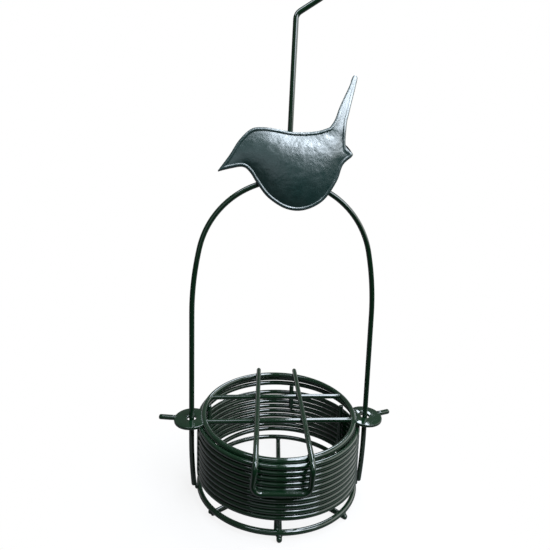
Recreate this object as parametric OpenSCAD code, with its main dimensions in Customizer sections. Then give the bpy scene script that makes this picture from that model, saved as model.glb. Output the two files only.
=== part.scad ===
// Hanging fat ball feeder: a close coil of round wire on a barred base ring, a wire lid that
// slides up the legs of an arched handle, a pressed bird on the arch and an open hook above it.
// Millimetres, +Z up. The origin is on the coil's axis, on the surface that the floor bars stand on.
// The front, with the hasp, faces -Y, and the bird looks towards -X.

/* [Wire] */
// Diameter of every round wire
wire_d = 5; // [4:0.1:6]
// Gap left between wires that are welded where they touch
weld_gap = 0.05; // [0.02:0.01:0.2]

/* [Coil wall] */
// Mean diameter of the coil
coil_d = 166; // [140:1:200]
// Whole turns of the coil, counted at the back
coil_turns = 10; // [6:1:14]
// Daylight between neighbouring turns
turn_gap = 0.4; // [0.3:0.1:2]
// How far the wire runs on past the back at the top, in degrees
coil_tail = 62; // [10:1:80]
// Rise of the first turn above the base ring, at the back
first_turn_rise = 11.4; // [10.5:0.1:20]
// Arc over which the wire climbs from the base ring to the first turn, in degrees
climb_arc = 60; // [40:1:90]
// Extra rise of every turn at the front
front_rise = 1; // [0:0.1:3]
// Extra height that each turn gains at the back over the one below it
turn_fan = 0.75; // [0:0.05:1.5]
// Extra height of the two top turns at the back, which opens a slit there
top_lift = 6; // [3:0.5:12]

/* [Base and stays] */
// Length of the floor bar past the base ring at each end
bar_tip = 2; // [0:0.1:10]
// Length of each floor spoke past the base ring
spoke_tip = 0; // [0:0.1:10]
// Turn of the floor bar from the front to back line, in degrees
bar_turn = -5; // [-10:0.5:10]
// Angle between the floor bar and each spoke, in degrees
spoke_spread = 50; // [45:1:65]
// Sideways shift of the floor bar and spokes from the ring's middle
floor_shift = 2.5; // [0:0.5:3]
// Height of each stay rod above the middle of the turn it ends at
stay_tip = 0; // [-2:0.5:0]
// Turn of the coil that the back stay rod starts at
back_stay_turn = 5; // [0:1:7]

/* [Handle] */
// Clear gap between the coil and the straight part of a leg
leg_gap = 3; // [2:0.5:12]
// Distance of the handle in front of the coil's axis
handle_forward = 13; // [0:1:20]
// Height of the middle of the wire at the top of the arch
handle_top = 323; // [260:1:400]
// How much less than half the leg spacing the arch's radius is
arch_inset = 5; // [2:0.5:12]
// Radius of the slow bend between each leg and the arch
shoulder_r = 300; // [200:10:500]
// Height at which each leg starts to bend in towards the base ring
foot_bend_z = 62; // [50:1:75]
// Length of each leg below the middle of the base ring, or above it where less than 0
foot_tip = -1.5; // [-2:0.5:4]

/* [Hook] */
// Length of the straight stem, from the top of the arch to the kink
stem_len = 142; // [110:1:200]
// Lean of the stem towards +X, in degrees
stem_lean = 1; // [0:0.5:3]
// Rise of the slanted stretch above the level, in degrees
hook_slant = 34; // [20:1:50]
// Mean radius of the hook's open loop
hook_r = 37; // [25:1:50]
// Inside bend radius of the kink
kink_r = 6; // [4:1:12]
// Arc of the open loop, in degrees
hook_arc = 250; // [200:5:280]

/* [Bird] */
// Width of the bird from beak to rump
bird_w = 127; // [90:1:160]
// Height of the beak's tip above the top of the arch
bird_rise = 7; // [0:1:12]
// Thickness of the pressed sheet
sheet_t = 1.5; // [1:0.1:3]
// Width of the flat rim round the pressed body
rim_w = 3.2; // [2:0.1:5]
// Height of the pressed body above the rim
dome_rise = 8; // [4:0.5:12]
// Backward lean of the tail, in degrees
tail_lean = 18; // [0:1:30]

/* [Lid] */
// How much less the lid ring's mean radius is than the coil's, so that it nests in the coil's mouth
lid_inset = 4.2; // [1:0.1:4.6]
// Smallest gap between the lid ring and the coil's top turn
seat_gap = 0.35; // [0.3:0.05:1]
// Distance of the front cross wire from the lid's middle
cross_front = 18; // [10:1:40]
// Distance of the back cross wire from the lid's middle
cross_back = 28; // [12:1:50]
// Spacing of the hairpin's wires at the back
hairpin_back_w = 44; // [30:1:60]
// Spacing of the hairpin's wires at the front, where they turn down as the hasp
hairpin_front_w = 50; // [36:1:70]
// Length of the hairpin past the lid ring at the back
hairpin_tip = 4; // [2:0.5:10]
// Turn of the hairpin on the lid, in degrees
hairpin_skew = -2.6; // [-3:0.1:3]
// Sideways shift of the hairpin on the lid
hairpin_shift = 0.8; // [-2:0.1:2]
// Spacing of the hasp's wires at its foot
hasp_foot_w = 52; // [36:1:70]
// Sideways shift of the hasp's foot
hasp_foot_shift = -2; // [-3:0.5:3]
// Drop of the hasp's foot below the lid ring
hasp_drop = 23.5; // [16:0.5:40]
// Clear gap between the hasp and the coil
hasp_gap = 0.8; // [0.5:0.1:3]
// Mean bend radius of the hasp's corners
hasp_bend_r = 8.5; // [5:0.5:10]

/* [Lugs] */
// Diameter of each round lug
lug_d = 35; // [24:1:44]
// Thickness of each lug
lug_t = 3; // [2:0.5:4]
// Play between a leg and its hole in the lug, all round
leg_play = 2; // [1:0.1:3]
// Length of the left lifting stub past its lug
stub_len_left = 16; // [8:1:25]
// Length of the right lifting stub past its lug
stub_len_right = 13; // [8:1:25]
// Turn of the left lifting stub towards the back, in degrees
stub_turn_left = 8; // [0:1:40]
// Turn of the right lifting stub towards the back, in degrees
stub_turn_right = 18; // [0:1:40]

/* [Hidden] */
$fn = 64;
paint = [0.05, 0.13, 0.11];
wire_r = wire_d / 2;
coil_r = coil_d / 2;
lid_r = coil_r - lid_inset;

// Straight stretches of a bent wire run this far into its bends, and are this much thinner
lap = 0.2;
lap_slack = 0.02;

// Facets of the swept coil
coil_sides = 8;
coil_steps = 32;

// Base: the bars lie on the ground and the ring lies on the bars
bar_z = wire_r;
ring_z = bar_z + wire_d + weld_gap;
bar_reach = coil_r + wire_r + bar_tip;
spoke_reach = coil_r + wire_r + spoke_tip;
spoke_start = wire_r / tan(spoke_spread / 2) + 2 * weld_gap;

// Coil: t counts turns from the back, clockwise seen from above
coil_pitch = wire_d + turn_gap;
coil_start_z = ring_z + wire_d + weld_gap;
coil_low_z = ring_z + first_turn_rise;
t_start = -climb_arc / 360;
t_end = coil_turns + coil_tail / 360;
t_lift = coil_turns - 1.5;
climb = coil_low_z + coil_pitch * t_start - coil_start_z;
function coil_angle(t) = 90 - 360 * t;
function coil_z(t) =
    coil_low_z + coil_pitch * t
    - (t < 0 ? climb * pow(t / t_start, 2) : 0)
    + (t > 0 ? front_rise * (1 - cos(360 * t)) / 2 + turn_fan * t * (1 + cos(360 * t)) / 2 : 0)
    + (t > t_lift ? top_lift * (1 + cos(360 * t)) / 2 : 0);
// Inner face of the coil at the middle of a facet
coil_inner_r = (coil_r - wire_r) * cos(180 / coil_steps);

// Stay rods stand inside the coil
stay_r = coil_inner_r - wire_r - weld_gap;
stay_foot = ring_z - wire_r + weld_gap;
function turn_share(angle) = ((450 - angle) % 360) / 360;
function stay_top(angle) = coil_z(coil_turns - 1 + turn_share(angle)) + stay_tip;
function raised_foot(angle) = coil_z(back_stay_turn + turn_share(angle)) - stay_tip;

// Handle: legs, slow shoulders and one arch, in the plane y = -handle_forward
leg_x = sqrt(pow(coil_r + wire_d + leg_gap, 2) - pow(handle_forward, 2));
foot_x = sqrt(pow(coil_r + wire_d + 3 * weld_gap, 2) - pow(handle_forward, 2));
arch_r = leg_x - arch_inset;
arch_z = handle_top - arch_r;
spring_z = arch_z - sqrt(arch_inset * (2 * shoulder_r - arch_r - leg_x));
shoulder_a = asin((arch_z - spring_z) / (shoulder_r - arch_r));
foot_in = leg_x - foot_x;
foot_fall = foot_bend_z - ring_z;
foot_r = (pow(foot_fall, 2) + pow(foot_in, 2)) / (2 * foot_in);
foot_a = asin((foot_fall + foot_tip) / foot_r);

// Hook: stem from the arch, a kink, a slant and an open loop, in the handle's plane
stem_foot = [0, -handle_forward, handle_top + wire_d + weld_gap];
kink = stem_foot + stem_len * [sin(stem_lean), 0, cos(stem_lean)];
slant = [cos(hook_slant), 0, sin(hook_slant)];
slant_len = hook_r * tan(hook_slant);
slant_end = kink + slant_len * slant;
hook_mid = slant_end + hook_r * [-sin(hook_slant), 0, cos(hook_slant)];

// Bird: pairs of edge points, belly side then back side, from the beak round to the tail's tip
bird_pairs = [
    [[-66, -1.6], [-66, -0.4]],
    [[-55, 1.5], [-55.5, 14]],
    [[-43, 3.5], [-47, 27.5]],
    [[-36, -1.5], [-36, 38]],
    [[-29.5, -11], [-25, 40]],
    [[-18.5, -24], [-12, 39]],
    [[-1, -34], [3, 37]],
    [[17, -34.5], [17, 37.5]],
    [[34.5, -25], [27, 39]],
    [[46.5, -7], [33, 41]],
    [[52, 9], [35.5, 42]],
    [[61, 18.7], [37.5, 43]],
    [[53.8, 26.3], [39.5, 45.5]],
    [[53.6, 45], [43, 51.4]],
    [[56.6, 59], [47.3, 63.2]],
    [[63.2, 85.2], [56.8, 83.8]],
    [[63.8, 89.3], [62, 92]]
];
// The rump's pair ends the width that runs from the beak
rump = 11;
bird_k = bird_w / (bird_pairs[rump][0][0] - bird_pairs[0][0][0]);
bird_back_y = -handle_forward - wire_r - weld_gap;
bird_z = handle_top + bird_rise;
// Steps between two pairs, and across the pressed body
bird_steps = 3;
body_steps = 8;
// Height in the pairs from which the tail leans back, and the length of its bend
tail_root = 40 * bird_k;
tail_bend = 8 * bird_k;
function tail_back(z) = z <= tail_root ? 0 : tan(tail_lean) * pow(z - tail_root, 2) / (z - tail_root + tail_bend);
// Rise of the pressing for each millimetre of its width, where it is narrow
dome_slope = 0.14;
// Largest share of a narrow section that one rim takes
rim_share = 0.3;

// Lid: it rests on the front of the coil's top turn and on the end of its wire, which set its slope
seat_front = coil_z(coil_turns - 0.5);
seat_end = coil_z(t_end);
seat_run = lid_r * (1 + sin(coil_angle(t_end)));
seat_slope = (seat_end - seat_front) / seat_run;
// Reach of the sloping ring seen from above, and its height over the wire that it rests on
function lid_reach(angle) = lid_r * sqrt(1 - pow(seat_slope * sin(angle), 2));
function nest(angle) =
    sqrt(pow(wire_d + seat_gap, 2) - pow(coil_r * cos(180 / coil_steps) - lid_reach(angle), 2));
lid_tilt = asin(seat_slope + (nest(coil_angle(t_end)) - nest(-90)) / seat_run);
seat_steps = 90;
lid_z = max([for (i = [0:seat_steps])
    let (t = coil_turns - 1 + i / seat_steps * (1 + coil_tail / 360))
    coil_z(t) + nest(coil_angle(t)) - sin(lid_tilt) * lid_r * sin(coil_angle(t))]);
// The lugs lie just above the coil's top turn
lug_angle = 180 + asin(handle_forward / coil_r);
lug_z = coil_z(coil_turns - 1 + turn_share(lug_angle)) + wire_r + lug_t / 2 + 2 * seat_gap
    - lid_z + handle_forward * tan(lid_tilt);
hairpin_z = wire_d + weld_gap;
hasp_y = -(coil_r + wire_d + hasp_gap + hasp_drop * sin(lid_tilt)) / cos(lid_tilt);
hairpin_back_y = lid_r + hairpin_tip;
lug_y = -handle_forward / cos(lid_tilt);
lug_hole_r = wire_r + leg_play;

// A closed ring of round wire about the Z axis
module wire_ring(r, grow = 0) {
    rotate_extrude() translate([r, 0]) circle(r = wire_r + grow);
}

// Part of such a ring, from the +X axis
module wire_arc(r, angle) {
    rotate_extrude(angle = angle) translate([r, 0]) circle(r = wire_r);
}

// Straight wire between two points
module wire_line(a, b, slack = 0) {
    d = b - a;
    translate(a)
        rotate([0, acos(d.z / norm(d)), atan2(d.y, d.x)])
            cylinder(r = wire_r - slack, h = norm(d));
}

// Round wire along straight stretches, with a bend of mean radius r at each inner point
module bent_wire(points, r) {
    last = len(points) - 1;
    function way(i) = (points[i + 1] - points[i]) / norm(points[i + 1] - points[i]);
    function turn(i) = acos(way(i - 1) * way(i));
    function tangent(i) = r * tan(turn(i) / 2);
    function trim(i) = i == 0 || i == last ? 0 : tangent(i) - lap;
    for (i = [0:last - 1])
        wire_line(points[i] + trim(i) * way(i), points[i + 1] - trim(i + 1) * way(i), lap_slack);
    for (i = [1:last - 1]) {
        u = way(i - 1);
        m = (way(i) - u * cos(turn(i))) / sin(turn(i));
        n = cross(-m, u);
        c = points[i] - tangent(i) * u + r * m;
        multmatrix([[-m.x, u.x, n.x, c.x], [-m.y, u.y, n.y, c.y], [-m.z, u.z, n.z, c.z], [0, 0, 0, 1]])
            wire_arc(r, turn(i));
    }
}

// Places its children in the lid's own plane
module on_lid() {
    translate([0, 0, lid_z]) rotate([lid_tilt, 0, 0]) children();
}

// Places its children in the upright plane of the handle, with X across and Y up
module on_handle(x, z) {
    translate([x, -handle_forward, z]) rotate([90, 0, 0]) children();
}

module base_ring() {
    color(paint) translate([0, 0, ring_z]) wire_ring(coil_r);
}

module floor_bar() {
    color(paint) translate([floor_shift, 0, 0]) rotate([0, 0, bar_turn])
        wire_line([0, -bar_reach, bar_z], [0, bar_reach, bar_z]);
}

// One of the four spokes that butt against the middle of the floor bar, by its angle from the bar
module floor_spoke(angle) {
    color(paint) translate([floor_shift, 0, 0]) rotate([0, 0, 90 + bar_turn + angle])
        wire_line([spoke_start, 0, bar_z], [spoke_reach, 0, bar_z]);
}

module coil_wall() {
    rings = ceil((t_end - t_start) * coil_steps);
    points = [for (i = [0:rings], j = [0:coil_sides - 1])
        let (t = t_start + (t_end - t_start) * i / rings, a = 360 * j / coil_sides,
             r = coil_r + wire_r * cos(a), th = coil_angle(t))
        [r * cos(th), r * sin(th), coil_z(t) + wire_r * sin(a)]];
    sides = [for (i = [0:rings - 1], j = [0:coil_sides - 1])
        let (k = (j + 1) % coil_sides, a = i * coil_sides, b = a + coil_sides)
        each [[a + j, b + j, b + k], [a + j, b + k, a + k]]];
    ends = [[for (j = [0:coil_sides - 1]) j],
        [for (j = [coil_sides - 1:-1:0]) rings * coil_sides + j]];
    color(paint) polyhedron(points, concat(sides, ends));
}

module stay_rod(angle, foot = stay_foot) {
    color(paint) rotate([0, 0, angle])
        wire_line([stay_r, 0, foot], [stay_r, 0, stay_top(angle)]);
}

module handle() {
    color(paint) {
        on_handle(0, arch_z) rotate([0, 0, shoulder_a]) wire_arc(arch_r, 180 - 2 * shoulder_a);
        for (side = [0, 1]) mirror([side, 0, 0]) {
            on_handle(leg_x - shoulder_r, spring_z) wire_arc(shoulder_r, shoulder_a - atan(lap / 2 / shoulder_r));
            on_handle(0, arch_z) rotate([0, 0, shoulder_a])
                wire_line([arch_r, -lap, 0], [arch_r, lap, 0], lap_slack);
            wire_line([leg_x, -handle_forward, foot_bend_z - lap],
                [leg_x, -handle_forward, spring_z + lap], lap_slack);
            on_handle(leg_x - foot_r, foot_bend_z) rotate([0, 0, -foot_a]) wire_arc(foot_r, foot_a);
        }
    }
}

module hook() {
    color(paint) {
        bent_wire([stem_foot - wire_r * [0, 0, 1], kink, slant_end + lap * slant], kink_r + wire_r);
        on_handle(hook_mid.x, hook_mid.z) rotate([0, 0, hook_slant - 90]) wire_arc(hook_r, hook_arc);
    }
}

// Smooth curve through the rows of a list, at row i and share f of the way to the next
function through(rows, i, f) =
    let (n = len(rows) - 1, a = rows[max(i - 1, 0)], b = rows[i], c = rows[min(i + 1, n)],
         d = rows[min(i + 2, n)])
    b + 0.5 * f * (c - a + f * (2 * a - 5 * b + 4 * c - d + f * (3 * (b - c) + d - a)));

// Share across a section, and height above the rim, of each point from edge to edge
function bird_section(width) =
    let (rim = min(rim_w, rim_share * width) / width, body = width * (1 - 2 * rim),
         rise = min(dome_rise, dome_slope * body))
    concat([[0, 0]],
        [for (i = [0:body_steps]) let (f = i / body_steps) [rim + (1 - 2 * rim) * f, rise * sin(180 * f)]],
        [[1, 0]]);

module bird() {
    stations = (len(bird_pairs) - 1) * bird_steps;
    belly = [for (p = bird_pairs) p[0] * bird_k];
    back = [for (p = bird_pairs) p[1] * bird_k];
    across = body_steps + 3;
    around = 2 * across;
    points = [for (i = [0:stations])
        let (row = min(floor(i / bird_steps), len(bird_pairs) - 2), f = i / bird_steps - row,
             a = through(belly, row, f), b = through(back, row, f), s = bird_section(norm(b - a)))
        each concat(
            [for (j = [0:across - 1])
                let (p = a + (b - a) * s[j][0])
                [p.x, bird_back_y + tail_back(p.y) - sheet_t - s[j][1], bird_z + p.y]],
            [for (j = [across - 1:-1:0])
                let (p = a + (b - a) * s[j][0])
                [p.x, bird_back_y + tail_back(p.y) - s[j][1], bird_z + p.y]])];
    sides = [for (i = [0:stations - 1], j = [0:around - 1])
        let (k = (j + 1) % around, a = i * around, b = a + around)
        each [[a + j, a + k, b + k], [a + j, b + k, b + j]]];
    ends = [for (j = [0:across - 2])
        let (k = around - 1 - j, e = stations * around)
        each [[j, k, k - 1], [j, k - 1, j + 1], [e + j, e + k - 1, e + k], [e + j, e + j + 1, e + k - 1]]];
    color(paint) polyhedron(points, concat(sides, ends));
}

module lid_ring() {
    color(paint) on_lid() wire_ring(lid_r);
}

// Cross wire in the ring's plane, cut to a saddle at each end where it meets the ring
module lid_cross_wire(y) {
    color(paint) on_lid() difference() {
        intersection() {
            wire_line([-lid_r, y, 0], [lid_r, y, 0]);
            cylinder(r = lid_r, h = 2 * wire_d, center = true);
        }
        wire_ring(lid_r, weld_gap);
    }
}

// One wire bent into a hairpin across the lid and turned down at the front
module lid_hasp() {
    back = hairpin_back_w / 2;
    front = hairpin_front_w / 2;
    foot_left = hasp_foot_shift - hasp_foot_w / 2;
    foot_right = hasp_foot_shift + hasp_foot_w / 2;
    color(paint) on_lid() translate([hairpin_shift, 0, 0]) rotate([0, 0, hairpin_skew])
        bent_wire([[-back, hairpin_back_y, hairpin_z], [-front, hasp_y, hairpin_z],
            [foot_left, hasp_y, -hasp_drop], [foot_right, hasp_y, -hasp_drop],
            [front, hasp_y, hairpin_z], [back, hairpin_back_y, hairpin_z]], hasp_bend_r);
}

// Round lug with a hole for the leg, cut away where the lid ring passes
module lid_lug(side) {
    color(paint) on_lid() difference() {
        translate([side * leg_x, lug_y, lug_z - lug_t / 2]) cylinder(d = lug_d, h = lug_t);
        translate([side * leg_x, lug_y, lug_z - lug_t]) cylinder(r = lug_hole_r, h = 2 * lug_t);
        translate([0, 0, lug_z - lug_t]) cylinder(r = lid_r + wire_r + weld_gap, h = 2 * lug_t);
    }
}

// Short rod that a finger lifts the lid by
module lift_stub(side, length, angle) {
    start = lug_d / 2 + weld_gap;
    color(paint) on_lid() translate([side * leg_x, lug_y, lug_z])
        rotate([0, 0, angle])
            wire_line([start, 0, 0], [start + length, 0, 0]);
}

base_ring();
floor_bar();
floor_spoke(180 + spoke_spread);  // floor_spoke_front_right
floor_spoke(-spoke_spread);  // floor_spoke_back_right
floor_spoke(spoke_spread);  // floor_spoke_back_left
floor_spoke(180 - spoke_spread);  // floor_spoke_front_left
coil_wall();
stay_rod(18);  // stay_rod_right
stay_rod(72.5, raised_foot(72.5));  // stay_rod_back
stay_rod(164);  // stay_rod_left
stay_rod(270 + bar_turn);  // stay_rod_front
handle();
bird();
hook();
lid_ring();
lid_cross_wire(-cross_front);  // lid_cross_wire_front
lid_cross_wire(cross_back);  // lid_cross_wire_back
lid_hasp();
lid_lug(-1);  // lid_lug_left
lid_lug(1);  // lid_lug_right
lift_stub(-1, stub_len_left, 180 - stub_turn_left);  // lift_stub_left
lift_stub(1, stub_len_right, stub_turn_right);  // lift_stub_right
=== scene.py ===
# %% [markdown]
# # A hanging fat ball feeder
# The feeder is bent from one gauge of steel wire, welded and then powder coated dark green. A close coil
# makes the basket, an arched handle carries a pressed bird and a hook, and a wire lid slides up the
# handle's legs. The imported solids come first, because everything that follows is fitted to them. Lengths
# are written in millimetres and angles in degrees, apart from the floor and the lamps, whose lengths are
# in metres.

# %% Load the solids
import math

import bpy
import numpy as np
from mathutils import Matrix, Vector, noise


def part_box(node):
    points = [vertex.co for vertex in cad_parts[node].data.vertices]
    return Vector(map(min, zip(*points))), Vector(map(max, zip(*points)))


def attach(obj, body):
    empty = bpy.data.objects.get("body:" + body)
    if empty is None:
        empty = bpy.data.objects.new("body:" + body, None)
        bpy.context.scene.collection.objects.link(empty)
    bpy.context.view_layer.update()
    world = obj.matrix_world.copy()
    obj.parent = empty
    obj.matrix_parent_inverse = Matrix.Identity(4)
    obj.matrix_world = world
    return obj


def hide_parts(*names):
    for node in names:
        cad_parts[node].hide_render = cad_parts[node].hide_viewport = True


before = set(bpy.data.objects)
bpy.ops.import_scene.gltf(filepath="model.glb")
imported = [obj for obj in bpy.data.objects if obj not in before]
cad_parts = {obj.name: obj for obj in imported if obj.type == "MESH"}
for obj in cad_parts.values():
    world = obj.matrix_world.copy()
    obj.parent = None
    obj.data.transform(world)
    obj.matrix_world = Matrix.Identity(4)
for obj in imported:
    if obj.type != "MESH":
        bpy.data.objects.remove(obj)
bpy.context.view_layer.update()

MM = 0.001  # one millimetre in the scene's metres

# %% [markdown]
# ## Two helpers for finishes
# Colours are easiest to judge as the hex values that a screen shows, but a shader works in linear light,
# so one function converts them. A second function adds a node with its settings and its links in one
# line, which keeps each material as readable as a recipe.

# %% Helpers for materials
def linear(hex_text):
    """An sRGB hex colour as linear RGBA, by the formula of the sRGB standard."""
    channels = [int(hex_text[i:i + 2], 16) / 255 for i in (1, 3, 5)]
    return [c / 12.92 if c <= 0.04045 else ((c + 0.055) / 1.055) ** 2.4 for c in channels] + [1.0]


def add_node(tree, kind, inputs=None, links=None, **settings):
    """Adds one node, sets its sockets, and links other nodes' outputs to it."""
    node = tree.nodes.new(kind)
    for key, value in settings.items():
        setattr(node, key, value)
    for key, value in (inputs or {}).items():
        node.inputs[key].default_value = value
    for key, source in (links or {}).items():
        tree.links.new(source, node.inputs[key])
    return node


print("middle grey on a screen is", round(linear("#808080")[0], 3), "in linear light")

# %% [markdown]
# ## Gloss powder coat on wire
# The wire is mild steel under a baked polyester powder coat. Powder melts and flows, so the skin is
# glossy and sealed, with a faint orange peel about 2 mm across, and it is a little duller where the film
# is thin. The green is so dark that it reads as black, except where a lamp glints along the wire. A
# painted surface is a plain dielectric, so metallic stays at 0. The shader's clear coat stands for the
# sealed top of the film, and its low roughness keeps the glints crisp.

# %% Powder coat on wire
CLOUD_MM, PATCH_MM = 26, 9
PATCH_LOW, PATCH_HIGH = 0.3, 0.7
PEEL_STRENGTH, DENT_STRENGTH, CALM_STRENGTH = 0.35, 0.5, 0.05
CALM_FROM, CALM_TO = 366, 384  # the heights between which the dents die out
TOP_ROUGHNESS, TOP_IOR = 0.06, 1.6


def powder_coat(name, deep, pale, peel, gloss, ior=1.5, top=0.5, dents=None):
    """Baked powder coat: two close greens, a patchy gloss, orange peel and, on sheet, shallow dents.

    Peel and dents are each a size and a depth, and gloss is the lowest and the highest roughness.
    """
    material = bpy.data.materials.new(name)
    material.use_nodes = True
    tree = material.node_tree
    tree.nodes.clear()
    place = add_node(tree, "ShaderNodeTexCoord").outputs["Object"]
    clouds = add_node(tree, "ShaderNodeTexNoise", {"Scale": 1 / (CLOUD_MM * MM), "Detail": 3.0},
                      {"Vector": place})
    colour = add_node(tree, "ShaderNodeMix", {"A": linear(deep), "B": linear(pale)},
                      {"Factor": clouds.outputs["Fac"]}, data_type="RGBA")
    patches = add_node(tree, "ShaderNodeTexNoise", {"Scale": 1 / (PATCH_MM * MM), "Detail": 4.0},
                       {"Vector": place})
    rough = add_node(tree, "ShaderNodeMapRange",
                     {"From Min": PATCH_LOW, "From Max": PATCH_HIGH,
                      "To Min": gloss[0], "To Max": gloss[1]},
                     {"Value": patches.outputs["Fac"]})
    orange = add_node(tree, "ShaderNodeTexNoise", {"Scale": 1 / (peel[0] * MM), "Detail": 1.0},
                      {"Vector": place})
    bump = add_node(tree, "ShaderNodeBump", {"Strength": PEEL_STRENGTH, "Distance": peel[1] * MM},
                    {"Height": orange.outputs["Fac"]})
    if dents:
        axes = add_node(tree, "ShaderNodeSeparateXYZ", None, {"Vector": place})
        calm = add_node(tree, "ShaderNodeMapRange",
                        {"From Min": CALM_FROM * MM, "From Max": CALM_TO * MM,
                         "To Min": DENT_STRENGTH, "To Max": CALM_STRENGTH},
                        {"Value": axes.outputs["Z"]}, interpolation_type="SMOOTHSTEP")
        press = add_node(tree, "ShaderNodeTexNoise", {"Scale": 1 / (dents[0] * MM), "Detail": 2.0},
                         {"Vector": place})
        bump = add_node(tree, "ShaderNodeBump", {"Distance": dents[1] * MM},
                        {"Height": press.outputs["Fac"], "Normal": bump.outputs["Normal"],
                         "Strength": calm.outputs["Result"]})
    shader = add_node(tree, "ShaderNodeBsdfPrincipled",
                      {"Metallic": 0.0, "IOR": ior, "Coat Weight": top, "Coat Roughness": TOP_ROUGHNESS,
                       "Coat IOR": TOP_IOR},
                      {"Base Color": colour.outputs["Result"], "Roughness": rough.outputs["Result"],
                       "Normal": bump.outputs["Normal"]})
    add_node(tree, "ShaderNodeOutputMaterial", None, {"Surface": shader.outputs["BSDF"]})
    return material


wire_coat = powder_coat("gloss_powder_coat_on_steel_wire", "#0a2413", "#10301c",
                        peel=(2.0, 0.04), gloss=(0.08, 0.14), top=0.9)
print("made", wire_coat.name)

# %% [markdown]
# ## Powder coat on the pressed sheet and on welds
# The bird is cut and pressed from thin steel sheet. The press leaves shallow dents about 8 mm across,
# which the broad body shows as uneven patches in its sheen, and they die out up the narrow tail. The coat
# is satin here, rougher than on the wire, so that the lamps spread into one soft gradient from the back
# down to the belly, and a higher index of refraction makes that sheen strong and pearly. On a weld bead
# the powder lies thicker and rougher, so its glints are wider.

# %% Powder coat on sheet and welds
sheet_coat = powder_coat("satin_powder_coat_on_pressed_steel_sheet", "#113430", "#19433f",
                         peel=(2.2, 0.08), gloss=(0.3, 0.4), ior=2.4, top=0.0, dents=(8.0, 1.2))
weld_coat = powder_coat("powder_coat_over_weld_beads", "#0e2516", "#14301f",
                        peel=(1.4, 0.4), gloss=(0.2, 0.34))
print("made", sheet_coat.name, "and", weld_coat.name)

# %% [markdown]
# ## From points to a piece
# A mesh is made from a list of points and a list of faces. Each piece then rides on one of the two
# bodies, the basket or the lid, so that it moves with the joint, and it takes the place of the solid that
# it dresses.

# %% Make a piece
def make_piece(name, verts, faces, material, body, nodes):
    """A smooth mesh piece that rides on a body and stands for its solids."""
    mesh = bpy.data.meshes.new(name)
    mesh.from_pydata([tuple(v * MM for v in p) for p in verts], [], faces)
    mesh.validate()
    mesh.polygons.foreach_set("use_smooth", [True] * len(mesh.polygons))
    mesh.materials.append(material)
    piece = bpy.data.objects.new(name, mesh)
    bpy.context.collection.objects.link(piece)
    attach(piece, body)
    if nodes:
        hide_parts(*nodes)


print("points in mm are scaled by", MM, "to metres")

# %% [markdown]
# ## Rings along a wire
# Every wire is a circle swept along a path. A bevelled curve could do it, but a mesh gives control of the
# ends: a sheared end keeps a flat face with a softened edge, because the coat rounds it. So the rings of
# points are set out first, each with its middle, the way that the wire runs there, and its radius, which
# shrinks in steps at an open end.

# %% Rings along a path
WIRE_R = 2.5
WIRE_D = 2 * WIRE_R
# Rings of a softened end: the share of the radius, and how far out, also as a share of it
END_STEPS = [(1.0, 0.0), (0.97, 0.3), (0.87, 0.55), (0.7, 0.72), (0.35, 0.8)]
END_DEPTH = 0.82


def ring_rows(path, closed, radius):
    """Middle, way and radius of each ring of points, with softened ends on an open wire."""
    path = [Vector(p) for p in path]
    last = len(path) - 1
    rows = []
    for i, middle in enumerate(path):
        before = path[i - 1] if closed or i > 0 else middle
        after = path[(i + 1) % len(path)] if closed or i < last else middle
        rows.append((middle, (after - before).normalized(), radius))
    if closed:
        return rows
    ends = []
    for (tip, way, _), inward in ((rows[0], 1), (rows[-1], -1)):
        ends.append([(tip + way * inward * radius * (END_DEPTH - out), way, radius * share)
                     for share, out in END_STEPS])
    return ends[0][::-1] + rows[1:-1] + ends[1]


print("an open end is softened over", END_DEPTH * WIRE_R, "mm")

# %% [markdown]
# ## A round wire
# The tube joins these rings. The direction that each ring starts from is carried along the path by the
# smallest turn, so that the tube never twists. The coat makes the bare wire a tenth of a millimetre
# thicker all round.

# %% Sweep a wire along a path
COAT_T, WIRE_SIDES = 0.1, 20


def tube(path, closed, radius):
    """Points and faces of a round wire along a path."""
    rows = ring_rows(path, closed, radius)
    before = rows[0][1]
    across = before.orthogonal().normalized()
    verts, faces = [], []
    for middle, way, size in rows:
        across = before.rotation_difference(way) @ across
        across = (across - way * across.dot(way)).normalized()
        before = way
        up = way.cross(across)
        for j in range(WIRE_SIDES):
            a = 2 * math.pi * j / WIRE_SIDES
            verts.append(middle + size * (math.cos(a) * across + math.sin(a) * up))
    last = len(verts) - WIRE_SIDES
    sides = [(j, (j + 1) % WIRE_SIDES) for j in range(WIRE_SIDES)]
    for a in range(0, last, WIRE_SIDES):
        b = a + WIRE_SIDES
        faces += [(a + j, a + k, b + k, b + j) for j, k in sides]
    if closed:
        shift = min(range(WIRE_SIDES), key=lambda s: (verts[last] - verts[s]).length)
        faces += [(last + j, last + k, (k + shift) % WIRE_SIDES, (j + shift) % WIRE_SIDES)
                  for j, k in sides]
    else:
        tip = len(verts)
        verts += [Vector(path[0]), Vector(path[-1])]
        for j, k in sides:
            faces += [(tip, k, j), (tip + 1, last + j, last + k)]
    return verts, faces


def wire(name, path, body, closed=False, place=Matrix(), coat=COAT_T):
    """A coated wire along a path, moved to its place."""
    verts, faces = tube(path, closed, WIRE_R + coat)
    make_piece(name, [place @ v for v in verts], faces, wire_coat, body, [name])


print("a coated wire is", WIRE_D + 2 * COAT_T, "mm thick, with", WIRE_SIDES, "sides")

# %% [markdown]
# ## Paths
# The feeder's wires are straight, round or bent, so a few small functions give all the paths: a point or
# a direction at an angle, a level circle, a straight line and an upright arc.

# %% Paths for wires
CIRCLE_STEPS, LINE_STEPS = 144, 12


def polar(r, degrees, z):
    """A point at an angle round the basket."""
    return Vector((r * math.cos(math.radians(degrees)), r * math.sin(math.radians(degrees)), z))


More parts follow.
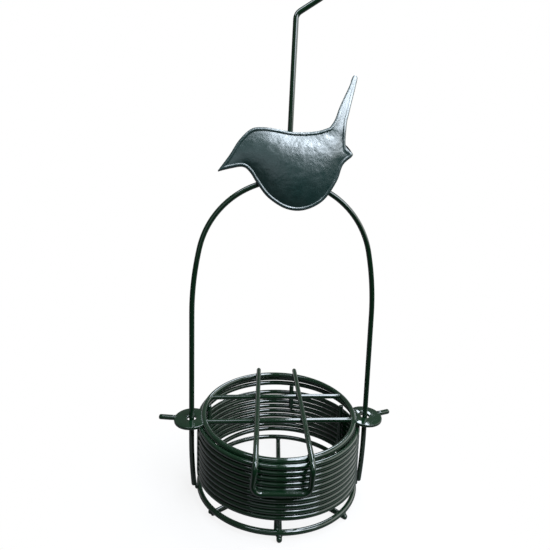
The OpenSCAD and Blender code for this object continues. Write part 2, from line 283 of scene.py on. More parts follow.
def upright(degrees):
    """A direction in the handle's plane, from +X towards +Z."""
    return Vector((math.cos(math.radians(degrees)), 0, math.sin(math.radians(degrees))))


def circle(r, z):
    """A level circle about the basket's axis."""
    return [polar(r, 360 * i / CIRCLE_STEPS, z) for i in range(CIRCLE_STEPS)]


def line(a, b, steps=LINE_STEPS):
    """A straight run from one point to another."""
    a, b = Vector(a), Vector(b)
    return [a.lerp(b, i / steps) for i in range(steps + 1)]


def arc(middle, r, start, end, steps):
    """An upright arc, with angles from +X towards +Z."""
    return [Vector(middle) + r * upright(start + (end - start) * i / steps) for i in range(steps + 1)]


print("a quarter circle ends at", [round(c, 3) for c in arc((0, 0, 0), 1, 0, 90, 4)[-1]])

# %% [markdown]
# ## Base: ring, bars and spokes
# The base ring lies on one bar that runs right across and on four shorter spokes that butt against its
# middle. The ring's size comes from its solid's own box, so that it can't drift from it.

# %% Base
BAR_Z = WIRE_R
BAR_REACH, SPOKE_REACH, SPOKE_START = 87.5, 85.5, 5.46
BAR_TURN, FLOOR_SHIFT = -5, Vector((2.5, 0, 0))
SPOKES = {"front_right": -40, "back_right": 40, "back_left": 140, "front_left": 220}


def box_mm(node):
    """The low and the high corner of a solid's box, in millimetres."""
    low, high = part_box(node)
    return [c / MM for c in low], [c / MM for c in high]


def floor_point(r, angle):
    """A point of the floor, at an angle from the spokes' own zero."""
    return FLOOR_SHIFT + polar(r, BAR_TURN + angle, BAR_Z)


ring_low, ring_high = box_mm("base_ring")
COIL_R = ring_high[0] - WIRE_R
RING_Z = (ring_low[2] + ring_high[2]) / 2
wire("base_ring", circle(COIL_R, RING_Z), "basket", closed=True)
wire("floor_bar", line(floor_point(BAR_REACH, -90), floor_point(BAR_REACH, 90)), "basket")
for side, angle in SPOKES.items():
    spoke = line(floor_point(SPOKE_START, angle), floor_point(SPOKE_REACH, angle))
    wire("floor_spoke_" + side, spoke, "basket")
print("base ring radius", round(COIL_R, 2), "mm")

# %% [markdown]
# ## Coil wall
# One wire climbs from the base ring and makes ten close turns. They fan open a little towards the back,
# and the two top turns lift there, which opens a slit. A screw modifier would give an even helix only, so
# the path is worked out point by point, with the turns counted from the back.

# %% Coil wall
TOUCH = 0.05  # the gap that the solids keep where pieces touch
COIL_TURNS, COIL_PITCH, COIL_RISE = 10, 5.4, 11.4
COIL_LOW = RING_Z + COIL_RISE
COIL_FOOT = RING_Z + WIRE_D + TOUCH
FOOT_ARC, END_ARC = 60, 62
FIRST_TURN, LAST_TURN = -FOOT_ARC / 360, COIL_TURNS + END_ARC / 360
LIFT_TURN, TOP_LIFT = COIL_TURNS - 1.5, 6
FRONT_RISE, TURN_FAN = 1, 0.75
CLIMB = COIL_LOW + COIL_PITCH * FIRST_TURN - COIL_FOOT
COIL_STEPS = 980


def coil_height(turn):
    """Height of the wire's middle after a number of turns."""
    height = COIL_LOW + COIL_PITCH * turn
    if turn < 0:
        height -= CLIMB * (turn / FIRST_TURN) ** 2
    back_share = (1 + math.cos(2 * math.pi * turn)) / 2
    if turn > 0:
        height += FRONT_RISE * (1 - back_share) + TURN_FAN * turn * back_share
    if turn > LIFT_TURN:
        height += TOP_LIFT * back_share
    return height


turns = [FIRST_TURN + (LAST_TURN - FIRST_TURN) * i / COIL_STEPS for i in range(COIL_STEPS + 1)]
wire("coil_wall", [polar(COIL_R, 90 - 360 * turn, coil_height(turn)) for turn in turns], "basket")
print("coil from", round(coil_height(FIRST_TURN), 1), "to", round(coil_height(LAST_TURN), 1), "mm")

# %% [markdown]
# ## Stays
# Four upright stays inside the coil hold its turns. The back one is short and holds the upper turns only,
# so each stay's two ends are taken from its solid.

# %% Stays
STAY_R = 77.57
STAYS = {"right": 18, "back": 72.5, "left": 164, "front": 270 + BAR_TURN}

for side, angle in STAYS.items():
    low, high = box_mm("stay_rod_" + side)
    wire("stay_rod_" + side, line(polar(STAY_R, angle, low[2]), polar(STAY_R, angle, high[2])), "basket")
    print(side, "stay", round(high[2] - low[2], 1), "mm long")

# %% [markdown]
# ## Handle
# The handle is one wire: two legs that bend in a little at the foot, slow shoulders, and a round arch.
# Arcs that share a tangent join without a corner, so each bend is an arc about its own centre. One half
# is worked out, and the other is its mirror image.

# %% Handle
HANDLE_Y, ARCH_TOP = -13, 323
LEG_X, ARCH_R, SHOULDER_R = 90.07, 85.07, 300
ARCH_Z = ARCH_TOP - ARCH_R
SPRING_Z = ARCH_Z - math.sqrt((LEG_X - ARCH_R) * (2 * SHOULDER_R - ARCH_R - LEG_X))
SHOULDER_ANGLE = math.degrees(math.asin((ARCH_Z - SPRING_Z) / (SHOULDER_R - ARCH_R)))
FOOT_BEND_Z, FOOT_X, FOOT_CUT = 62, 87.19, 1.5
FOOT_FALL, FOOT_IN = FOOT_BEND_Z - RING_Z, LEG_X - FOOT_X
FOOT_R = (FOOT_FALL ** 2 + FOOT_IN ** 2) / (2 * FOOT_IN)
FOOT_ANGLE = math.degrees(math.asin((FOOT_FALL - FOOT_CUT) / FOOT_R))

half = arc((LEG_X - FOOT_R, HANDLE_Y, FOOT_BEND_Z), FOOT_R, -FOOT_ANGLE, 0, steps=10)
half += line((LEG_X, HANDLE_Y, FOOT_BEND_Z), (LEG_X, HANDLE_Y, SPRING_Z), steps=20)[1:]
half += arc((LEG_X - SHOULDER_R, HANDLE_Y, SPRING_Z), SHOULDER_R, 0, SHOULDER_ANGLE, steps=12)[1:]
half += arc((0, HANDLE_Y, ARCH_Z), ARCH_R, SHOULDER_ANGLE, 90, steps=40)[1:]
wire("handle", half + [(-x, y, z) for x, y, z in reversed(half[:-1])], "basket")
print("handle's shoulders start at", round(SPRING_Z, 1), "mm")

# %% [markdown]
# ## Hook
# The hook's stem stands on the arch, kinks, slants out and turns back in an open loop over the stem. The
# kink is a small arc that touches the stem and the slant, so both are trimmed to where it starts and
# ends.

# %% Hook
HOOK_R, HOOK_ARC, STEM_LENGTH = 37, 250, 142
SLANT, LEAN, KINK_R = 34, 1, 8.5

stem_foot = Vector((0, HANDLE_Y, ARCH_TOP + WIRE_D + TOUCH))
stem_low = stem_foot - Vector((0, 0, WIRE_R))
kink = stem_foot + STEM_LENGTH * upright(90 - LEAN)
slant_way = upright(SLANT)
stem_way = (kink - stem_low).normalized()
trim = KINK_R * math.tan(stem_way.angle(slant_way) / 2)
kink_middle = kink - stem_way * trim + KINK_R * upright(-LEAN)
slant_end = kink + slant_way * HOOK_R * math.tan(math.radians(SLANT))
loop_middle = slant_end + HOOK_R * upright(SLANT + 90)

hook = line(stem_low, kink - stem_way * trim, steps=16)
hook += arc(kink_middle, KINK_R, 180 - LEAN, 90 + SLANT, steps=10)[1:]
hook += line(kink + slant_way * trim, slant_end, steps=6)[1:]
hook += arc(loop_middle, HOOK_R, SLANT - 90, SLANT - 90 + HOOK_ARC, steps=64)[1:]
wire("hook", hook, "basket")
print("hook loop about", [round(c, 1) for c in loop_middle])

# %% [markdown]
# ## Lid ring and cross wires
# The lid ring nests in the coil's mouth and follows its slope. Its height and slope are measured from the
# solid. The solids keep a small gap between lid and coil, so here the ring is let down a little and its
# coat is thicker, and it rests on the top turn as the real one does. Two cross wires butt against the
# ring.

# %% Lid ring and cross wires
LID_SETTLE, LID_COAT, CROSS_INSET = 0.3, 0.36, 0.6
CROSS = {"front": -18, "back": 28}

lid_low, lid_high = box_mm("lid_ring")
LID_R = (lid_high[0] - lid_low[0]) / 2 - WIRE_R
LID_Z = (lid_low[2] + lid_high[2]) / 2 - LID_SETTLE
LID_TILT = math.asin(((lid_high[2] - lid_low[2]) / 2 - WIRE_R) / LID_R)
on_lid = Matrix.Translation((0, 0, LID_Z)) @ Matrix.Rotation(LID_TILT, 4, "X")

wire("lid_ring", circle(LID_R, 0), "lid", closed=True, place=on_lid, coat=LID_COAT)
for side, y in CROSS.items():
    reach = math.sqrt((LID_R - CROSS_INSET) ** 2 - y ** 2)
    wire("lid_cross_wire_" + side, line((-reach, y, 0), (reach, y, 0)), "lid", place=on_lid)
print("lid slope", round(math.degrees(LID_TILT), 2), "degrees at", round(LID_Z, 2), "mm")

# %% [markdown]
# ## Hasp
# One wire bent into a hairpin lies over the cross wires and turns down in front as a hasp. It is given by
# its corners, and each inner corner becomes an arc, as it does round a bender's pin.

# %% Hasp
BEND_STEPS, RUN_STEPS = 10, 8
HAIRPIN_Z = WIRE_D + TOUCH
HAIRPIN_BACK, HAIRPIN_FRONT, HAIRPIN_PAST = 22, 25, 4
HAIRPIN_SHIFT, HAIRPIN_SKEW = 0.8, math.radians(-2.6)
HASP_DROP, HASP_BEND_R, HASP_GAP = 23.5, 8.5, 0.8
HASP_FOOT_LEFT, HASP_FOOT_RIGHT = -28, 24
HASP_Y = -(COIL_R + WIRE_D + HASP_GAP + HASP_DROP * math.sin(LID_TILT)) / math.cos(LID_TILT)
HAIRPIN_END = LID_R + HAIRPIN_PAST


def bent(points, r):
    """A path through the points, with an arc of radius r at each inner one."""
    points = [Vector(p) for p in points]
    path = [points[0]]
    for a, b, c in zip(points, points[1:], points[2:]):
        u, v = (b - a).normalized(), (c - b).normalized()
        turn = u.angle(v)
        inward = (v - u * math.cos(turn)) / math.sin(turn)
        start = b - u * r * math.tan(turn / 2)
        path += line(path[-1], start, RUN_STEPS)[1:]
        for i in range(1, BEND_STEPS + 1):
            f = turn * i / BEND_STEPS
            path.append(start + r * (math.sin(f) * u + (1 - math.cos(f)) * inward))
    return path + line(path[-1], points[-1], RUN_STEPS)[1:]


hairpin = [(-HAIRPIN_BACK, HAIRPIN_END, HAIRPIN_Z), (-HAIRPIN_FRONT, HASP_Y, HAIRPIN_Z),
           (HASP_FOOT_LEFT, HASP_Y, -HASP_DROP), (HASP_FOOT_RIGHT, HASP_Y, -HASP_DROP),
           (HAIRPIN_FRONT, HASP_Y, HAIRPIN_Z), (HAIRPIN_BACK, HAIRPIN_END, HAIRPIN_Z)]
skewed = on_lid @ Matrix.Translation((HAIRPIN_SHIFT, 0, 0)) @ Matrix.Rotation(HAIRPIN_SKEW, 4, "Z")
wire("lid_hasp", bent(hairpin, HASP_BEND_R), "lid", place=skewed)
print("hasp hangs", HASP_DROP, "mm below the lid")

# %% [markdown]
# ## Lugs and lifting stubs
# A round lug on each side rides on a leg of the handle, and is cut to fit the ring that it is welded to.
# Seen from its hole, its edge is at one distance in each direction, so a small rounded section can be
# swept round the hole and stretched to that edge. A short stub on each lug is what a finger lifts.

# %% Lugs and stubs
LUG_R, LUG_T, LUG_HOLE_R, LUG_EDGE, LUG_GAP = 17.5, 3.0, 4.5, 0.7, 0.7
LUG_STEPS, STUB_STEPS = 120, 4
CORNER_ANGLES = [math.radians(a) for a in (0, 30, 60, 90)]
LUG_Y = HANDLE_Y / math.cos(LID_TILT)
COPE_R = LID_R + WIRE_R + TOUCH
LUG_TURN = COIL_TURNS - 1 + (270 - math.degrees(math.asin(-HANDLE_Y / COIL_R))) / 360
LUG_Z = coil_height(LUG_TURN) + WIRE_R + LUG_T / 2 + LUG_GAP - LID_Z - HANDLE_Y * math.tan(LID_TILT)
# The side of the feeder, and the length and angle of the stub
LUGS = {"left": (-1, 16, 172), "right": (1, 13, 18)}


def lug_reach(middle, way):
    """Distance from the hole's middle to the lug's edge, which is round or cut to the ring."""
    along = middle.dot(way)
    inside = along ** 2 - (middle.length_squared - COPE_R ** 2)
    if along < 0 and inside > 0:
        return min(LUG_R, -along - math.sqrt(inside))
    return LUG_R


def lug(name, side):
    """A flat eye round a leg, with softened edges."""
    middle = Vector((side * LEG_X, LUG_Y, 0))
    corner = [(LUG_EDGE * (1 - math.cos(a)), LUG_EDGE * (1 - math.sin(a))) for a in CORNER_ANGLES]
    verts, faces = [], []
    for i in range(LUG_STEPS):
        way = polar(1, 360 * i / LUG_STEPS, 0)
        outer = lug_reach(middle, way)
        top = [(LUG_HOLE_R + d, LUG_T / 2 - e) for d, e in corner]
        top += [(outer - d, LUG_T / 2 - e) for d, e in reversed(corner)]
        section = top + [(r, -z) for r, z in reversed(top)]
        verts += [on_lid @ (middle + way * r + Vector((0, 0, LUG_Z + z))) for r, z in section]
    size = len(verts) // LUG_STEPS
    for i in range(LUG_STEPS):
        a, b = i * size, (i + 1) % LUG_STEPS * size
        faces += [(a + j, a + (j + 1) % size, b + (j + 1) % size, b + j) for j in range(size)]
    make_piece(name, verts, faces, wire_coat, "lid", [name])


for name, (side, length, angle) in LUGS.items():
    lug("lid_lug_" + name, side)
    way = polar(1, angle, 0)
    root = Vector((side * LEG_X, LUG_Y, LUG_Z)) + way * (LUG_R + TOUCH)
    wire("lift_stub_" + name, line(root, root + way * length, STUB_STEPS), "lid", place=on_lid)
print("lugs at", round(LEG_X, 2), "mm either side")

# %% [markdown]
# ## The bird's outline
# The bird is one pressed sheet, lofted from pairs of edge points, belly side and back side, that run from
# the beak round to the tail. A smooth curve through the pairs gives the outline, and the tail leans back
# out of its plane.

# %% Bird's outline
BIRD_PAIRS = [
    ((-66, -1.6), (-66, -0.4)), ((-55, 1.5), (-55.5, 14)), ((-43, 3.5), (-47, 27.5)),
    ((-36, -1.5), (-36, 38)), ((-29.5, -11), (-25, 40)), ((-18.5, -24), (-12, 39)),
    ((-1, -34), (3, 37)), ((17, -34.5), (17, 37.5)), ((34.5, -25), (27, 39)),
    ((46.5, -7), (33, 41)), ((52, 9), (35.5, 42)), ((61, 18.7), (37.5, 43)),
    ((53.8, 26.3), (39.5, 45.5)), ((53.6, 45), (43, 51.4)), ((56.6, 59), (47.3, 63.2)),
    ((63.2, 85.2), (56.8, 83.8)), ((64.2, 89.6), (58.3, 88.6)), ((64.3, 92), (59.8, 92.2)),
    ((63, 93.7), (61.3, 93.9))]
BIRD_STEPS = 8
TAIL_ROOT, TAIL_BEND, TAIL_LEAN = 40, 3, math.radians(14)


def smooth_edge(points):
    """A smooth curve through the points of one edge, with steps between each two."""
    last = len(points) - 1
    curve = []
    for i in range(last * BIRD_STEPS + 1):
        row = min(i // BIRD_STEPS, last - 1)
        f = i / BIRD_STEPS - row
        a, b, c, d = (Vector(points[min(max(row + k, 0), last)]) for k in (-1, 0, 1, 2))
        curve.append(b + 0.5 * f * (c - a + f * (2 * a - 5 * b + 4 * c - d + f * (3 * (b - c) + d - a))))
    return curve


def tail_back(z):
    """How far the tail leans back at a height."""
    rise = max(0, z - TAIL_ROOT)
    return math.tan(TAIL_LEAN) * rise ** 2 / (rise + TAIL_BEND)


belly_edge = smooth_edge([belly for belly, back in BIRD_PAIRS])
back_edge = smooth_edge([back for belly, back in BIRD_PAIRS])
outline = [tuple(p) for p in belly_edge + back_edge[::-1]]
print("bird", round(max(x for x, y in outline) - min(x for x, y in outline)), "mm long")

# %% [markdown]
# ## The bird's bulge
# The body could be sculpted, but pressed sheet takes much the shape of a soap film blown up inside the
# rim: on a grid, each point is set again and again to the mean of its four neighbours plus a small push,
# until the film settles. So the broad body bulges most, the narrow tail stays flat, and no crease shows
# between them.

# %% Bird's bulge
RIM_W, DOME_RISE = 3.4, 8
FILM_X, FILM_Y, FILM_STEP = (-70, 70), (-40, 97), 1.0
FILM_ROUNDS, FILM_PUSH = 1500, 0.01
NO_LENGTH = 1e-9  # keeps an edge of no length from dividing by zero


def edge_distance(x, y):
    """Distance from each point to the outline, and whether it lies inside."""
    near, inside = np.full(x.shape, np.inf), np.zeros(x.shape, bool)
    for (ax, ay), (bx, by) in zip(outline, outline[1:] + outline[:1]):
        long = max((bx - ax) ** 2 + (by - ay) ** 2, NO_LENGTH)
        share = np.clip(((x - ax) * (bx - ax) + (y - ay) * (by - ay)) / long, 0, 1)
        near = np.minimum(near, np.hypot(x - ax - share * (bx - ax), y - ay - share * (by - ay)))
        if ay != by:
            inside ^= ((ay > y) != (by > y)) & (x < ax + (y - ay) * (bx - ax) / (by - ay))
    return near, inside


def soap_film():
    """Heights of a film that is blown up inside the rim, on a square grid."""
    grid = np.meshgrid(np.arange(*FILM_X, FILM_STEP), np.arange(*FILM_Y, FILM_STEP))
    near, inside = edge_distance(*grid)
    body = inside & (near > RIM_W)
    film = np.zeros(body.shape)
    for _ in range(FILM_ROUNDS):
        mean = sum(np.roll(film, step, axis) for axis in (0, 1) for step in (1, -1)) / 4
        film = np.where(body, mean + FILM_PUSH, 0)
    return film * DOME_RISE / film.max()


def film_height(film, x, y):
    """The film's height at points between those of the grid."""
    u, v = (x - FILM_X[0]) / FILM_STEP, (y - FILM_Y[0]) / FILM_STEP
    i, j = u.astype(int), v.astype(int)
    u, v = u - i, v - j
    low = film[j, i] * (1 - u) + film[j, i + 1] * u
    high = film[j + 1, i] * (1 - u) + film[j + 1, i + 1] * u
    return low * (1 - v) + high * v


film = soap_film()
print("film of", film.shape[1], "by", film.shape[0], "points")

# %% [markdown]
# ## The bird's rim and sheet
# A narrow rim stands up as a bead and stiffens the edge, and it dies out up the tail. The front of the
# cut edge is rounded over, which draws a dark line round the bird. Each section of the loft has close
# steps at its two edges, where these shapes are, and wide ones between.

# %% Bird's rim and sheet
BIRD_Z, BIRD_BACK_Y = 330, HANDLE_Y - WIRE_R - TOUCH
SHEET_T, BEAD_TOP, BEAD_H = 1.5, 2.4, 0.9
BEAD_FADE, BEAD_LEFT = 20, 0.1
ROLL_W, ROLL_DEPTH = 1.15, 0.9
EDGE_W, EDGE_SHARE, EDGE_STEPS, BODY_STEPS = 6.0, 0.3, 12, 26


def bead_height(near, y):
    """A bead that slopes gently outside and steeply inside, and dies out up the tail."""
    outer = np.sin(np.clip(near / BEAD_TOP, 0, 1) * math.pi / 2)
    inner = np.cos(np.clip((near - BEAD_TOP) / (RIM_W - BEAD_TOP), 0, 1) * math.pi / 2) ** 2
    left = np.clip(1 - (y - TAIL_ROOT) / BEAD_FADE, BEAD_LEFT, 1)
    return BEAD_H * left * np.where(near < BEAD_TOP, outer, inner)


def shares(width):
    """Shares of a section's width: close steps at both edges, wide ones between."""
    edge = min(EDGE_W / width, EDGE_SHARE)
    first = [edge * i / EDGE_STEPS for i in range(EDGE_STEPS)]
    middle = [edge + (1 - 2 * edge) * i / BODY_STEPS for i in range(BODY_STEPS + 1)]
    return first + middle + [1 - e for e in reversed(first)]


def bird():
    """The sheet, with a front and a back face in each section."""
    sections = list(zip(belly_edge, back_edge))
    flat = np.array([a.lerp(b, t) for a, b in sections for t in shares((b - a).length)])
    near, _ = edge_distance(flat[:, 0], flat[:, 1])
    back = film_height(film, flat[:, 0], flat[:, 1]) + bead_height(near, flat[:, 1])
    front = back + SHEET_T - ROLL_DEPTH * np.clip(1 - near / ROLL_W, 0, 1) ** 2
    across = len(flat) // len(sections)
    size = 2 * across
    verts, faces = [], []
    for i in range(len(sections)):
        section = range(i * across, (i + 1) * across)
        for k, height in [(k, front[k]) for k in section] + [(k, back[k]) for k in reversed(section)]:
            x, y = flat[k]
            verts.append((x, BIRD_BACK_Y + tail_back(y) - height, BIRD_Z + y))
    last = len(verts) - size
    for a in range(0, last, size):
        b = a + size
        faces += [(a + j, b + j, b + (j + 1) % size, a + (j + 1) % size) for j in range(size)]
    for j in range(across - 1):
        cap = (j, j + 1, size - 2 - j, size - 1 - j)
        faces += [cap, tuple(last + c for c in reversed(cap))]
    make_piece("bird", verts, faces, sheet_coat, "basket", ["bird"])
    print("bird has", len(verts), "points")


bird()

# %% [markdown]
# ## Weld beads
# Where wires cross they are spot welded, and the coat flows over a small bead in each corner. A bead is a
# lump that is flat along the line between the two wires and a little uneven. The beads of one part of the
# feeder are one mesh, so that they ride together.

# %% One weld bead
BEAD_RINGS, BEAD_SIDES = 8, 14
UNEVEN_SHARE, UNEVEN_SCALE = 0.12, 1.6
UP = Vector((0, 0, 1))


def add_bead(verts, faces, middle, normal, size, flat):
    """One lump: size across and flat along the normal, with a little unevenness."""
    turn = UP.rotation_difference(normal)

    def point(lift, a):
        p = Vector((math.sin(lift) * math.cos(a), math.sin(lift) * math.sin(a), math.cos(lift)))
        uneven = 1 + UNEVEN_SHARE * noise.noise(p * UNEVEN_SCALE + middle)
        return middle + turn @ Vector((p.x * size, p.y * size, p.z * flat)) * uneven

    first = len(verts)
    verts += [point(math.pi * i / BEAD_RINGS, 2 * math.pi * j / BEAD_SIDES)
              for i in range(1, BEAD_RINGS) for j in range(BEAD_SIDES)]
    last = len(verts) - BEAD_SIDES
    verts += [point(0, 0), point(math.pi, 0)]
    for j in range(BEAD_SIDES):
        k = (j + 1) % BEAD_SIDES
        for a in range(first, last, BEAD_SIDES):
            b = a + BEAD_SIDES
            faces.append((a + j, b + j, b + k, a + k))
        faces += [(len(verts) - 2, first + j, first + k), (len(verts) - 1, last + k, last + j)]


def weld_beads(name, body, beads):
    """All the beads of one part of the feeder, as one mesh."""
    verts, faces = [], []
    for middle, normal, (size, flat) in beads:
        add_bead(verts, faces, Vector(middle), Vector(normal).normalized(), size, flat)
    make_piece(name, verts, faces, weld_coat, body, [])
    print(name, len(beads))


print("a bead has", BEAD_RINGS, "by", BEAD_SIDES, "faces")

# %% [markdown]
# ## Beads on the basket
# Beads join the ring to the bars under it, the spokes to the bar, each stay to the turns that it holds,
# the handle's feet to the ring, the coil's foot to the ring, and the stem to the arch.

# %% Beads on the basket
# Half the width and half the height of each kind of bead
BAR_BEAD, SPOKE_BEAD, STAY_FOOT_BEAD, STAY_BEAD = (3.3, 2.0), (2.7, 1.8), (2.6, 1.7), (2.3, 1.6)
LEG_BEAD, COIL_FOOT_BEAD, STEM_BEAD = (3.0, 1.9), (2.6, 1.7), (3.4, 2.2)
SPOKE_BEAD_R = 4.1
BACK_STAY_TURN = 5
LEG_BEAD_IN, LEG_BEAD_BACK, LEG_BEAD_WAY = 2.4, 0.35, -0.15
COIL_FOOT_BEADS, COIL_FOOT_STEP, COIL_FOOT_CLIMB = 3, 3, 0.1

base = [(floor_point(SPOKE_BEAD_R, a), polar(1, BAR_TURN + a, 0), SPOKE_BEAD) for a in SPOKES.values()]
for angle in list(SPOKES.values()) + [90, -90]:
    way = polar(1, BAR_TURN + angle, 0)
    along = way.dot(FLOOR_SHIFT)
    reach = math.sqrt(COIL_R ** 2 - FLOOR_SHIFT.length_squared + along ** 2) - along
    base.append((FLOOR_SHIFT + way * reach + UP * (BAR_Z + RING_Z) / 2, UP, BAR_BEAD))
weld_beads("base_welds", "basket", base)

stay = []
for side, angle in STAYS.items():
    middle_r, out = (COIL_R + STAY_R) / 2, polar(1, angle, 0)
    if side != "back":
        stay.append((polar(middle_r, angle, RING_Z), out, STAY_FOOT_BEAD))
    turn = ((90 - angle) % 360) / 360
    first = BACK_STAY_TURN if side == "back" else 0
    heights = [coil_height(turn + k) for k in range(first, COIL_TURNS - 1)]
    stay += [(polar(middle_r, angle, z), out, STAY_BEAD) for z in heights]
weld_beads("stay_welds", "basket", stay)

joints = [((0, HANDLE_Y, ARCH_TOP + WIRE_R), UP, STEM_BEAD)]
for side in (-1, 1):
    foot = (side * (FOOT_X - LEG_BEAD_IN), HANDLE_Y + LEG_BEAD_BACK, RING_Z)
    joints.append((foot, (side, LEG_BEAD_WAY, 0), LEG_BEAD))
for k in range(COIL_FOOT_BEADS):
    angle = 90 + FOOT_ARC - COIL_FOOT_STEP * k
    joints.append((polar(COIL_R, angle, RING_Z + WIRE_R + COIL_FOOT_CLIMB * k), UP, COIL_FOOT_BEAD))
weld_beads("handle_welds", "basket", joints)

# %% [markdown]
# ## Beads on the lid
# Beads join the hairpin to the cross wires and the ring, the cross wires to the ring, the lugs to the
# ring, and the stubs to the lugs. A lug's seam is long, so a row of beads follows it.

# %% Beads on the lid
HAIRPIN_BEAD, CROSS_BEAD, LUG_BEAD, STUB_BEAD = (3.1, 1.9), (2.9, 2.2), (2.2, 1.9), (2.8, 1.8)
HAIRPIN_BEAD_FRONT, HAIRPIN_BEAD_BACK, CROSS_BEAD_IN = 4.2, 3.4, 2.0
LUG_SEAM, LUG_SEAM_STEP = range(-3, 4), 2.2


def hairpin_x(side, y):
    """Where a side of the hairpin is, at a distance from front to back."""
    share = (HAIRPIN_END - y) / (HAIRPIN_END - HASP_Y)
    return side * (HAIRPIN_BACK + (HAIRPIN_FRONT - HAIRPIN_BACK) * share)


lid_turn = on_lid.to_3x3()
lid_up = lid_turn @ UP
lid_beads = []
for side, _, angle in LUGS.values():
    for y in (CROSS["front"], CROSS["back"], -LID_R + HAIRPIN_BEAD_FRONT, LID_R - HAIRPIN_BEAD_BACK):
        lid_beads.append((skewed @ Vector((hairpin_x(side, y), y, WIRE_R)), lid_up, HAIRPIN_BEAD))
    for y in CROSS.values():
        reach = math.sqrt((LID_R - CROSS_BEAD_IN) ** 2 - y ** 2)
        end = on_lid @ Vector((side * reach, y, 0))
        lid_beads.append((end, lid_turn @ Vector((side, 0, 0)), CROSS_BEAD))
    for k in LUG_SEAM:
        out = math.degrees(math.atan2(LUG_Y, side * LEG_X)) + LUG_SEAM_STEP * k
        lid_beads.append((on_lid @ polar(COPE_R, out, LUG_Z / 2), lid_up, LUG_BEAD))
    way = polar(1, angle, 0)
    root = Vector((side * LEG_X, LUG_Y, LUG_Z)) + way * LUG_R
    lid_beads.append((on_lid @ root, lid_turn @ way, STUB_BEAD))
weld_beads("lid_welds", "lid", lid_beads)

# %% [markdown]
# ## Camera
# The picture was taken close, with the camera near the bird's height and a wide lens, so the basket is
# seen from above while the arch stays round. The camera leans a little, and its axes are set from its
# azimuth, elevation and roll.

# %% Camera
PIXELS, FOCAL_PX, SENSOR_MM = 550, 430, 36
AZIMUTH, ELEVATION, ROLL = math.radians(-5.2), math.radians(8.6), math.radians(1.755)
TARGET, DISTANCE = Vector((-8.29, 0, 229.67)) * MM, 435.5 * MM


def facing(place, right, over, back):
    """A matrix that puts a thing at a place, with its three axes along the given ways."""
    return Matrix.Translation(place) @ Matrix((right, over, back)).transposed().to_4x4()


level = Vector((math.sin(AZIMUTH), -math.cos(AZIMUTH), 0))
back = level * math.cos(ELEVATION) + UP * math.sin(ELEVATION)
flat_right = Vector((math.cos(AZIMUTH), math.sin(AZIMUTH), 0))
flat_over = back.cross(flat_right)
right = math.cos(ROLL) * flat_right + math.sin(ROLL) * flat_over
over = math.cos(ROLL) * flat_over - math.sin(ROLL) * flat_right
lens = bpy.data.cameras.new("camera")
lens.sensor_width = SENSOR_MM
lens.lens = SENSOR_MM * FOCAL_PX / PIXELS
lens.clip_start = 10 * MM
camera = bpy.data.objects.new("camera", lens)
camera.matrix_world = facing(TARGET + back * DISTANCE, right, over, back)
bpy.context.collection.objects.link(camera)
bpy.context.scene.camera = camera
print("camera at", [round(c, 3) for c in camera.location])

# %% [markdown]
# ## Floor
# Gloss wire shows its surroundings more than its own colour, so these are laid out with care. The floor
# is white to the camera and keeps a faint shadow near the feeder. In the gloss coat it shows as a dim grey
# with a small share of white, because a white floor would draw a pale line along the underside of each
# turn of the coil.

# %% Floor
SWEEP_FRONT, SWEEP_SIZE, SWEEP_DROP = -0.13, 6, 0.0003
MIRROR_SHARE = 0.05
FADE_FROM, FADE_TO, FADE_LOW = 0.08, 0.25, 0.85

floor_mesh = bpy.data.meshes.new("floor")
floor_mesh.from_pydata([(-SWEEP_SIZE, SWEEP_FRONT, 0), (SWEEP_SIZE, SWEEP_FRONT, 0),
                        (SWEEP_SIZE, SWEEP_SIZE, 0), (-SWEEP_SIZE, SWEEP_SIZE, 0)], [], [(0, 1, 2, 3)])
floor = bpy.data.objects.new("floor", floor_mesh)
bpy.context.collection.objects.link(floor)
floor.location.z = -SWEEP_DROP
paper = bpy.data.materials.new("matt_white_paper_sweep")
paper.use_nodes = True
sheet = paper.node_tree
sheet.nodes.clear()
rays = add_node(sheet, "ShaderNodeLightPath")
mirrored = add_node(sheet, "ShaderNodeMath", None,
                    {0: rays.outputs["Is Glossy Ray"], 1: rays.outputs["Is Transmission Ray"]})
dimmed = add_node(sheet, "ShaderNodeMath", {1: MIRROR_SHARE}, {0: mirrored.outputs[0]},
                  operation="MULTIPLY")
seen = add_node(sheet, "ShaderNodeMath", None, {0: rays.outputs["Is Camera Ray"], 1: dimmed.outputs[0]},
                use_clamp=True)
spot = add_node(sheet, "ShaderNodeTexCoord")
away = add_node(sheet, "ShaderNodeVectorMath", None, {0: spot.outputs["Object"]}, operation="LENGTH")
fade = add_node(sheet, "ShaderNodeMapRange",
                {"From Min": FADE_FROM, "From Max": FADE_TO, "To Min": FADE_LOW, "To Max": 1.0},
                {"Value": away.outputs["Value"]}, interpolation_type="SMOOTHSTEP")
share = add_node(sheet, "ShaderNodeMath", None, {0: seen.outputs[0], 1: fade.outputs["Result"]},
                 operation="MULTIPLY")
tone = add_node(sheet, "ShaderNodeMix", {"A": linear("#666666"), "B": linear("#f8f8f8")},
                {"Factor": rays.outputs["Is Camera Ray"]}, data_type="RGBA")
matt = add_node(sheet, "ShaderNodeBsdfDiffuse", None, {"Color": tone.outputs["Result"]})
white = add_node(sheet, "ShaderNodeEmission", {"Color": linear("#ffffff"), "Strength": 1.0})
surface = add_node(sheet, "ShaderNodeMixShader", None,
                   {"Fac": share.outputs[0], 1: matt.outputs["BSDF"], 2: white.outputs["Emission"]})
add_node(sheet, "ShaderNodeOutputMaterial", None, {"Surface": surface.outputs["Shader"]})
floor_mesh.materials.append(paper)
print("floor starts", -SWEEP_FRONT, "m in front of the middle")

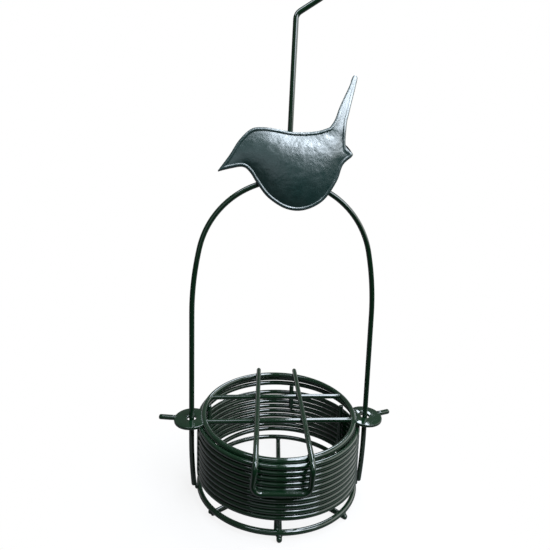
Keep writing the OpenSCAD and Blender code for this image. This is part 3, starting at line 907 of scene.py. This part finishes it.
# %% [markdown]
# ## Room
# The room is dim, so that the wires stay nearly black. A low pale backdrop behind and a window on the
# right give their edges a line. Each is a product of two smooth ramps over the sky's directions, and the
# brightest of the backdrop, the window and the room's own dim ramp is what shows. The camera itself sees
# plain white.

# %% Room
# The axis, where the ramp starts and ends on it, and its level before and after
SKY_RAMPS = {"behind": ("Y", 0.0, 0.6, 0.0, 0.65), "low_down": ("Z", 0.05, 0.35, 1.0, 0.2),
             "on_the_right": ("X", 0.45, 0.85, 0.0, 1.5), "over_the_sill": ("Z", 0.05, 0.25, 0.0, 1.0),
             "overhead": ("Z", 0.0, 0.6, 0.02, 0.1)}
SKY_MIXES = {"backdrop": ("behind", "low_down", "MULTIPLY"),
             "window": ("on_the_right", "over_the_sill", "MULTIPLY"),
             "bright": ("backdrop", "window", "MAXIMUM"),
             "room": ("bright", "overhead", "MAXIMUM")}

bpy.context.scene.view_settings.view_transform = "Standard"
world = bpy.data.worlds.new("studio")
bpy.context.scene.world = world
world.use_nodes = True
sky = world.node_tree
sky.nodes.clear()
way = add_node(sky, "ShaderNodeTexCoord")
axes = add_node(sky, "ShaderNodeSeparateXYZ", None, {"Vector": way.outputs["Generated"]})
levels = {}
for name, (axis, start, end, low, high) in SKY_RAMPS.items():
    ramp = add_node(sky, "ShaderNodeMapRange",
                    {"From Min": start, "From Max": end, "To Min": low, "To Max": high},
                    {"Value": axes.outputs[axis]}, interpolation_type="SMOOTHSTEP")
    levels[name] = ramp.outputs["Result"]
for name, (first, second, operation) in SKY_MIXES.items():
    mix = add_node(sky, "ShaderNodeMath", None, {0: levels[first], 1: levels[second]}, operation=operation)
    levels[name] = mix.outputs[0]
rays = add_node(sky, "ShaderNodeLightPath")
seen = add_node(sky, "ShaderNodeMix", {"B": 1.0},
                {"Factor": rays.outputs["Is Camera Ray"], "A": levels["room"]}, data_type="FLOAT")
light = add_node(sky, "ShaderNodeBackground", {"Color": linear("#ffffff")},
                 {"Strength": seen.outputs["Result"]})
add_node(sky, "ShaderNodeOutputWorld", None, {"Surface": light.outputs["Background"]})
print("sky levels:", list(levels))

# %% [markdown]
# ## Lamps
# Two long soft boxes, a little to the right, make one strip from the front over the top to behind: it
# turns the right half of each crosswise wire white and lays the sheen on the bird's back. A panel farther
# to the right lights that side of the coil. Near the bird's head, a small panel above and a dim card in
# front lift it.

# %% Lamps
LAMP_COLOUR = "#e9f3ff"
FEEDER_MIDDLE, BIRD_HEAD = Vector((0, 0, 200)) * MM, Vector((-41, -20, 340)) * MM


def lamp(name, way, distance, width, depth, power, target=FEEDER_MIDDLE):
    """A soft box that looks at a point of the feeder, its width along X, in metres and watts."""
    data = bpy.data.lights.new(name, "AREA")
    data.shape = "RECTANGLE"
    data.size, data.size_y, data.energy = width, depth, power
    data.color = linear(LAMP_COLOUR)[:3]
    out = Vector(way).normalized()
    across = (Vector((1, 0, 0)) - out * out.x).normalized()
    box = bpy.data.objects.new(name, data)
    box.visible_camera = False
    box.matrix_world = facing(target + out * distance, across, out.cross(across), out)
    bpy.context.collection.objects.link(box)


lamp("right_panel", (0.5, -0.6, 0.62), distance=1.2, width=0.6, depth=0.65, power=6.5)
lamp("front_strip", (0.26, -0.34, 0.9), distance=1.2, width=0.3, depth=1.05, power=10.5)
lamp("back_strip", (0.26, 0.47, 0.84), distance=1.2, width=0.3, depth=0.8, power=7.0)
lamp("head_panel", (-0.25, -0.37, 0.89), distance=0.53, width=0.35, depth=0.16, power=1.1,
     target=BIRD_HEAD)
lamp("head_card", (-0.28, -0.93, 0.03), distance=0.52, width=0.3, depth=0.3, power=0.11,
     target=BIRD_HEAD)

# %% [markdown]
# ## Finish
# The view layer is brought up to date, so that every piece stands where it was put.

# %% Finish
bpy.context.view_layer.update()
